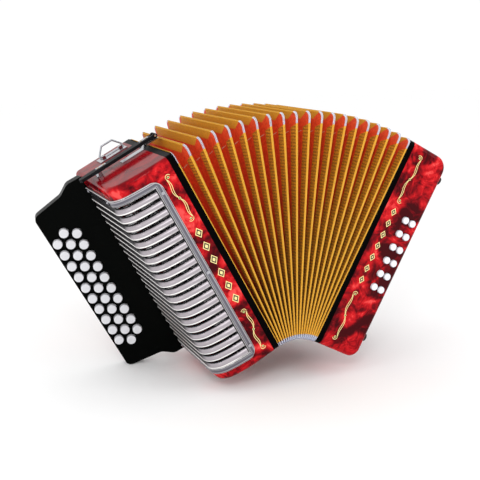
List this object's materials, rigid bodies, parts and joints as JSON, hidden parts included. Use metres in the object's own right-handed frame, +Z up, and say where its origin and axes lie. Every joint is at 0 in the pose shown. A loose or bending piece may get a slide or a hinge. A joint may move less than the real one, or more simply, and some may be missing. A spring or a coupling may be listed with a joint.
{
  "type": "button accordion",
  "caption": "Diatonic button accordion, fanned open: red pearl ends, chrome grille, black fingerboard with pearl buttons, orange bellows with chrome corners.",
  "frame": {"origin": "centre of the bounding box's bottom face", "axes": "+X from the treble end to the bass end, +Y from the front to the player's chest, +Z up, with the open bellows fanned evenly about the vertical"},
  "size_m": [0.5497, 0.1994, 0.3734],
  "materials": {
    "red_shell": "polished celluloid with a pearl pattern",
    "grille_chrome": "polished",
    "steel_fittings": "polished",
    "pan_wood": "satin",
    "black_board": "polished",
    "frame_wood": "black lacquer",
    "pearl_keys": "pearl",
    "ring_wire": "polished",
    "black_strap": "ribbed, satin",
    "bellows_card": "satin, with cloth tape",
    "middle_ring": "satin",
    "hand_leather": "satin",
    "bass_rubber": "matte"
  },
  "bodies": {
    "treble_end": {"treble_casing": "red_shell", "treble_grille": "grille_chrome", "treble_fittings": "steel_fittings", "treble_reed_pan": "pan_wood", "fingerboard": "black_board", "bellows_frame_treble": "frame_wood", "bellows_half_treble": "bellows_card"},
    "bellows_middle": {"bellows_middle_fold": "middle_ring", "bellows_half_bass": "bellows_card"},
    "bass_end": {"bellows_frame_bass": "frame_wood", "bass_casing": "red_shell", "bass_reed_pan": "pan_wood", "hand_strap": "hand_leather", "bass_fittings": "bass_rubber"},
    "shoulder_ring_upper": {"shoulder_ring_upper": "ring_wire"},
    "shoulder_ring_lower": {"shoulder_ring_lower": "ring_wire"},
    "bellows_strap": {"bellows_strap": "black_strap"},
    "treble_key_outer_01": {"treble_key_outer_01": "pearl_keys"},
    "treble_key_outer_02": {"treble_key_outer_02": "pearl_keys"},
    "treble_key_outer_03": {"treble_key_outer_03": "pearl_keys"},
    "treble_key_outer_04": {"treble_key_outer_04": "pearl_keys"},
    "treble_key_outer_05": {"treble_key_outer_05": "pearl_keys"},
    "treble_key_outer_06": {"treble_key_outer_06": "pearl_keys"},
    "treble_key_outer_07": {"treble_key_outer_07": "pearl_keys"},
    "treble_key_outer_08": {"treble_key_outer_08": "pearl_keys"},
    "treble_key_outer_09": {"treble_key_outer_09": "pearl_keys"},
    "treble_key_outer_10": {"treble_key_outer_10": "pearl_keys"},
    "treble_key_middle_01": {"treble_key_middle_01": "pearl_keys"},
    "treble_key_middle_02": {"treble_key_middle_02": "pearl_keys"},
    "treble_key_middle_03": {"treble_key_middle_03": "pearl_keys"},
    "treble_key_middle_04": {"treble_key_middle_04": "pearl_keys"},
    "treble_key_middle_05": {"treble_key_middle_05": "pearl_keys"},
    "treble_key_middle_06": {"treble_key_middle_06": "pearl_keys"},
    "treble_key_middle_07": {"treble_key_middle_07": "pearl_keys"},
    "treble_key_middle_08": {"treble_key_middle_08": "pearl_keys"},
    "treble_key_middle_09": {"treble_key_middle_09": "pearl_keys"},
    "treble_key_middle_10": {"treble_key_middle_10": "pearl_keys"},
    "treble_key_middle_11": {"treble_key_middle_11": "pearl_keys"},
    "treble_key_inner_01": {"treble_key_inner_01": "pearl_keys"},
    "treble_key_inner_02": {"treble_key_inner_02": "pearl_keys"},
    "treble_key_inner_03": {"treble_key_inner_03": "pearl_keys"},
    "treble_key_inner_04": {"treble_key_inner_04": "pearl_keys"},
    "treble_key_inner_05": {"treble_key_inner_05": "pearl_keys"},
    "treble_key_inner_06": {"treble_key_inner_06": "pearl_keys"},
    "treble_key_inner_07": {"treble_key_inner_07": "pearl_keys"},
    "treble_key_inner_08": {"treble_key_inner_08": "pearl_keys"},
    "treble_key_inner_09": {"treble_key_inner_09": "pearl_keys"},
    "treble_key_inner_10": {"treble_key_inner_10": "pearl_keys"},
    "bass_key_front_1": {"bass_key_front_1": "pearl_keys"},
    "bass_key_front_2": {"bass_key_front_2": "pearl_keys"},
    "bass_key_front_3": {"bass_key_front_3": "pearl_keys"},
    "bass_key_front_4": {"bass_key_front_4": "pearl_keys"},
    "bass_key_front_5": {"bass_key_front_5": "pearl_keys"},
    "bass_key_front_6": {"bass_key_front_6": "pearl_keys"},
    "bass_key_rear_1": {"bass_key_rear_1": "pearl_keys"},
    "bass_key_rear_2": {"bass_key_rear_2": "pearl_keys"},
    "bass_key_rear_3": {"bass_key_rear_3": "pearl_keys"},
    "bass_key_rear_4": {"bass_key_rear_4": "pearl_keys"},
    "bass_key_rear_5": {"bass_key_rear_5": "pearl_keys"},
    "bass_key_rear_6": {"bass_key_rear_6": "pearl_keys"}
  },
  "joints": [
    {"name": "bellows_treble_side", "type": "hinge", "parent": "treble_end", "child": "bellows_middle", "pos_m": [0.02866, -0.00119, 0.05725], "axis": [0, 1, 0], "range_deg": [-30.8, 0], "deforming": ["bellows_half_treble"]},
    {"name": "bellows_bass_side", "type": "hinge", "parent": "bellows_middle", "child": "bass_end", "pos_m": [0.05542, -0.00119, 0.06021], "axis": [0, 1, 0], "range_deg": [-25.85, 0], "deforming": ["bellows_half_bass"]},
    {"name": "treble_key_outer_01_press", "type": "hinge", "parent": "treble_end", "child": "treble_key_outer_01", "pos_m": [-0.17344, 0.06262, 0.23175], "axis": [0.4749, 0, -0.8801], "range_deg": [0, 2.06], "stiffness_Nm_per_rad": 0.12, "springref_deg": -17.19},
    {"name": "treble_key_outer_02_press", "type": "hinge", "parent": "treble_end", "child": "treble_key_outer_02", "pos_m": [-0.16445, 0.06262, 0.2151], "axis": [0.4749, 0, -0.8801], "range_deg": [0, 2.06], "stiffness_Nm_per_rad": 0.12, "springref_deg": -17.19},
    {"name": "treble_key_outer_03_press", "type": "hinge", "parent": "treble_end", "child": "treble_key_outer_03", "pos_m": [-0.15547, 0.06262, 0.19845], "axis": [0.4749, 0, -0.8801], "range_deg": [0, 2.06], "stiffness_Nm_per_rad": 0.12, "springref_deg": -17.19},
    {"name": "treble_key_outer_04_press", "type": "hinge", "parent": "treble_end", "child": "treble_key_outer_04", "pos_m": [-0.14649, 0.06262, 0.1818], "axis": [0.4749, 0, -0.8801], "range_deg": [0, 2.06], "stiffness_Nm_per_rad": 0.12, "springref_deg": -17.19},
    {"name": "treble_key_outer_05_press", "type": "hinge", "parent": "treble_end", "child": "treble_key_outer_05", "pos_m": [-0.1375, 0.06262, 0.16514], "axis": [0.4749, 0, -0.8801], "range_deg": [0, 2.06], "stiffness_Nm_per_rad": 0.12, "springref_deg": -17.19},
    {"name": "treble_key_outer_06_press", "type": "hinge", "parent": "treble_end", "child": "treble_key_outer_06", "pos_m": [-0.12852, 0.06262, 0.14849], "axis": [0.4749, 0, -0.8801], "range_deg": [0, 2.06], "stiffness_Nm_per_rad": 0.12, "springref_deg": -17.19},
    {"name": "treble_key_outer_07_press", "type": "hinge", "parent": "treble_end", "child": "treble_key_outer_07", "pos_m": [-0.11953, 0.06262, 0.13184], "axis": [0.4749, 0, -0.8801], "range_deg": [0, 2.06], "stiffness_Nm_per_rad": 0.12, "springref_deg": -17.19},
    {"name": "treble_key_outer_08_press", "type": "hinge", "parent": "treble_end", "child": "treble_key_outer_08", "pos_m": [-0.11055, 0.06262, 0.11519], "axis": [0.4749, 0, -0.8801], "range_deg": [0, 2.06], "stiffness_Nm_per_rad": 0.12, "springref_deg": -17.19},
    {"name": "treble_key_outer_09_press", "type": "hinge", "parent": "treble_end", "child": "treble_key_outer_09", "pos_m": [-0.10156, 0.06262, 0.09854], "axis": [0.4749, 0, -0.8801], "range_deg": [0, 2.06], "stiffness_Nm_per_rad": 0.12, "springref_deg": -17.19},
    {"name": "treble_key_outer_10_press", "type": "hinge", "parent": "treble_end", "child": "treble_key_outer_10", "pos_m": [-0.09258, 0.06262, 0.08189], "axis": [0.4749, 0, -0.8801], "range_deg": [0, 2.06], "stiffness_Nm_per_rad": 0.12, "springref_deg": -17.19},
    {"name": "treble_key_middle_01_press", "type": "hinge", "parent": "treble_end", "child": "treble_key_middle_01", "pos_m": [-0.17793, 0.06262, 0.24007], "axis": [0.4749, 0, -0.8801], "range_deg": [0, 2.52], "stiffness_Nm_per_rad": 0.12, "springref_deg": -17.19},
    {"name": "treble_key_middle_02_press", "type": "hinge", "parent": "treble_end", "child": "treble_key_middle_02", "pos_m": [-0.16895, 0.06262, 0.22342], "axis": [0.4749, 0, -0.8801], "range_deg": [0, 2.52], "stiffness_Nm_per_rad": 0.12, "springref_deg": -17.19},
    {"name": "treble_key_middle_03_press", "type": "hinge", "parent": "treble_end", "child": "treble_key_middle_03", "pos_m": [-0.15996, 0.06262, 0.20677], "axis": [0.4749, 0, -0.8801], "range_deg": [0, 2.52], "stiffness_Nm_per_rad": 0.12, "springref_deg": -17.19},
    {"name": "treble_key_middle_04_press", "type": "hinge", "parent": "treble_end", "child": "treble_key_middle_04", "pos_m": [-0.15098, 0.06262, 0.19012], "axis": [0.4749, 0, -0.8801], "range_deg": [0, 2.52], "stiffness_Nm_per_rad": 0.12, "springref_deg": -17.19},
    {"name": "treble_key_middle_05_press", "type": "hinge", "parent": "treble_end", "child": "treble_key_middle_05", "pos_m": [-0.14199, 0.06262, 0.17347], "axis": [0.4749, 0, -0.8801], "range_deg": [0, 2.52], "stiffness_Nm_per_rad": 0.12, "springref_deg": -17.19},
    {"name": "treble_key_middle_06_press", "type": "hinge", "parent": "treble_end", "child": "treble_key_middle_06", "pos_m": [-0.13301, 0.06262, 0.15682], "axis": [0.4749, 0, -0.8801], "range_deg": [0, 2.52], "stiffness_Nm_per_rad": 0.12, "springref_deg": -17.19},
    {"name": "treble_key_middle_07_press", "type": "hinge", "parent": "treble_end", "child": "treble_key_middle_07", "pos_m": [-0.12402, 0.06262, 0.14017], "axis": [0.4749, 0, -0.8801], "range_deg": [0, 2.52], "stiffness_Nm_per_rad": 0.12, "springref_deg": -17.19},
    {"name": "treble_key_middle_08_press", "type": "hinge", "parent": "treble_end", "child": "treble_key_middle_08", "pos_m": [-0.11504, 0.06262, 0.12352], "axis": [0.4749, 0, -0.8801], "range_deg": [0, 2.52], "stiffness_Nm_per_rad": 0.12, "springref_deg": -17.19},
    {"name": "treble_key_middle_09_press", "type": "hinge", "parent": "treble_end", "child": "treble_key_middle_09", "pos_m": [-0.10606, 0.06262, 0.10687], "axis": [0.4749, 0, -0.8801], "range_deg": [0, 2.52], "stiffness_Nm_per_rad": 0.12, "springref_deg": -17.19},
    {"name": "treble_key_middle_10_press", "type": "hinge", "parent": "treble_end", "child": "treble_key_middle_10", "pos_m": [-0.09707, 0.06262, 0.09022], "axis": [0.4749, 0, -0.8801], "range_deg": [0, 2.52], "stiffness_Nm_per_rad": 0.12, "springref_deg": -17.19},
    {"name": "treble_key_middle_11_press", "type": "hinge", "parent": "treble_end", "child": "treble_key_middle_11", "pos_m": [-0.08809, 0.06262, 0.07357], "axis": [0.4749, 0, -0.8801], "range_deg": [0, 2.52], "stiffness_Nm_per_rad": 0.12, "springref_deg": -17.19},
    {"name": "treble_key_inner_01_press", "type": "hinge", "parent": "treble_end", "child": "treble_key_inner_01", "pos_m": [-0.17344, 0.06262, 0.23175], "axis": [0.4749, 0, -0.8801], "range_deg": [0, 3.23], "stiffness_Nm_per_rad": 0.12, "springref_deg": -17.19},
    {"name": "treble_key_inner_02_press", "type": "hinge", "parent": "treble_end", "child": "treble_key_inner_02", "pos_m": [-0.16445, 0.06262, 0.2151], "axis": [0.4749, 0, -0.8801], "range_deg": [0, 3.23], "stiffness_Nm_per_rad": 0.12, "springref_deg": -17.19},
    {"name": "treble_key_inner_03_press", "type": "hinge", "parent": "treble_end", "child": "treble_key_inner_03", "pos_m": [-0.15547, 0.06262, 0.19845], "axis": [0.4749, 0, -0.8801], "range_deg": [0, 3.23], "stiffness_Nm_per_rad": 0.12, "springref_deg": -17.19},
    {"name": "treble_key_inner_04_press", "type": "hinge", "parent": "treble_end", "child": "treble_key_inner_04", "pos_m": [-0.14649, 0.06262, 0.1818], "axis": [0.4749, 0, -0.8801], "range_deg": [0, 3.23], "stiffness_Nm_per_rad": 0.12, "springref_deg": -17.19},
    {"name": "treble_key_inner_05_press", "type": "hinge", "parent": "treble_end", "child": "treble_key_inner_05", "pos_m": [-0.1375, 0.06262, 0.16514], "axis": [0.4749, 0, -0.8801], "range_deg": [0, 3.23], "stiffness_Nm_per_rad": 0.12, "springref_deg": -17.19},
    {"name": "treble_key_inner_06_press", "type": "hinge", "parent": "treble_end", "child": "treble_key_inner_06", "pos_m": [-0.12852, 0.06262, 0.14849], "axis": [0.4749, 0, -0.8801], "range_deg": [0, 3.23], "stiffness_Nm_per_rad": 0.12, "springref_deg": -17.19},
    {"name": "treble_key_inner_07_press", "type": "hinge", "parent": "treble_end", "child": "treble_key_inner_07", "pos_m": [-0.11953, 0.06262, 0.13184], "axis": [0.4749, 0, -0.8801], "range_deg": [0, 3.23], "stiffness_Nm_per_rad": 0.12, "springref_deg": -17.19},
    {"name": "treble_key_inner_08_press", "type": "hinge", "parent": "treble_end", "child": "treble_key_inner_08", "pos_m": [-0.11055, 0.06262, 0.11519], "axis": [0.4749, 0, -0.8801], "range_deg": [0, 3.23], "stiffness_Nm_per_rad": 0.12, "springref_deg": -17.19},
    {"name": "treble_key_inner_09_press", "type": "hinge", "parent": "treble_end", "child": "treble_key_inner_09", "pos_m": [-0.10156, 0.06262, 0.09854], "axis": [0.4749, 0, -0.8801], "range_deg": [0, 3.23], "stiffness_Nm_per_rad": 0.12, "springref_deg": -17.19},
    {"name": "treble_key_inner_10_press", "type": "hinge", "parent": "treble_end", "child": "treble_key_inner_10", "pos_m": [-0.09258, 0.06262, 0.08189], "axis": [0.4749, 0, -0.8801], "range_deg": [0, 3.23], "stiffness_Nm_per_rad": 0.12, "springref_deg": -17.19},
    {"name": "bass_key_front_1_press", "type": "slide", "parent": "bass_end", "child": "bass_key_front_1", "axis": [0, 1, 0], "range_m": [0, 0.0028], "stiffness_N_per_m": 150, "springref_m": -0.004},
    {"name": "bass_key_front_2_press", "type": "slide", "parent": "bass_end", "child": "bass_key_front_2", "axis": [0, 1, 0], "range_m": [0, 0.0028], "stiffness_N_per_m": 150, "springref_m": -0.004},
    {"name": "bass_key_front_3_press", "type": "slide", "parent": "bass_end", "child": "bass_key_front_3", "axis": [0, 1, 0], "range_m": [0, 0.0028], "stiffness_N_per_m": 150, "springref_m": -0.004},
    {"name": "bass_key_front_4_press", "type": "slide", "parent": "bass_end", "child": "bass_key_front_4", "axis": [0, 1, 0], "range_m": [0, 0.0028], "stiffness_N_per_m": 150, "springref_m": -0.004},
    {"name": "bass_key_front_5_press", "type": "slide", "parent": "bass_end", "child": "bass_key_front_5", "axis": [0, 1, 0], "range_m": [0, 0.0028], "stiffness_N_per_m": 150, "springref_m": -0.004},
    {"name": "bass_key_front_6_press", "type": "slide", "parent": "bass_end", "child": "bass_key_front_6", "axis": [0, 1, 0], "range_m": [0, 0.0028], "stiffness_N_per_m": 150, "springref_m": -0.004},
    {"name": "bass_key_rear_1_press", "type": "slide", "parent": "bass_end", "child": "bass_key_rear_1", "axis": [0, 1, 0], "range_m": [0, 0.0028], "stiffness_N_per_m": 150, "springref_m": -0.004},
    {"name": "bass_key_rear_2_press", "type": "slide", "parent": "bass_end", "child": "bass_key_rear_2", "axis": [0, 1, 0], "range_m": [0, 0.0028], "stiffness_N_per_m": 150, "springref_m": -0.004},
    {"name": "bass_key_rear_3_press", "type": "slide", "parent": "bass_end", "child": "bass_key_rear_3", "axis": [0, 1, 0], "range_m": [0, 0.0028], "stiffness_N_per_m": 150, "springref_m": -0.004},
    {"name": "bass_key_rear_4_press", "type": "slide", "parent": "bass_end", "child": "bass_key_rear_4", "axis": [0, 1, 0], "range_m": [0, 0.0028], "stiffness_N_per_m": 150, "springref_m": -0.004},
    {"name": "bass_key_rear_5_press", "type": "slide", "parent": "bass_end", "child": "bass_key_rear_5", "axis": [0, 1, 0], "range_m": [0, 0.0028], "stiffness_N_per_m": 150, "springref_m": -0.004},
    {"name": "bass_key_rear_6_press", "type": "slide", "parent": "bass_end", "child": "bass_key_rear_6", "axis": [0, 1, 0], "range_m": [0, 0.0028], "stiffness_N_per_m": 150, "springref_m": -0.004},
    {"name": "ring_upper_swing", "type": "hinge", "parent": "treble_end", "child": "shoulder_ring_upper", "pos_m": [-0.16761, 0.05881, 0.31466], "axis": [0.8801, 0, 0.4749], "range_deg": [0, 95]},
    {"name": "ring_lower_swing", "type": "hinge", "parent": "treble_end", "child": "shoulder_ring_lower", "pos_m": [-0.01661, 0.05881, 0.0348], "axis": [0.8801, 0, 0.4749], "range_deg": [-80, 80]},
    {"name": "strap_swing", "type": "hinge", "parent": "treble_end", "child": "bellows_strap", "pos_m": [-0.12604, 0.00131, 0.34186], "axis": [0, 1, 0], "range_deg": [0, 180]}
  ],
  "couplings": [
    {"joint": "bellows_bass_side", "follows": "bellows_treble_side", "ratio": 0.838}
  ]
}
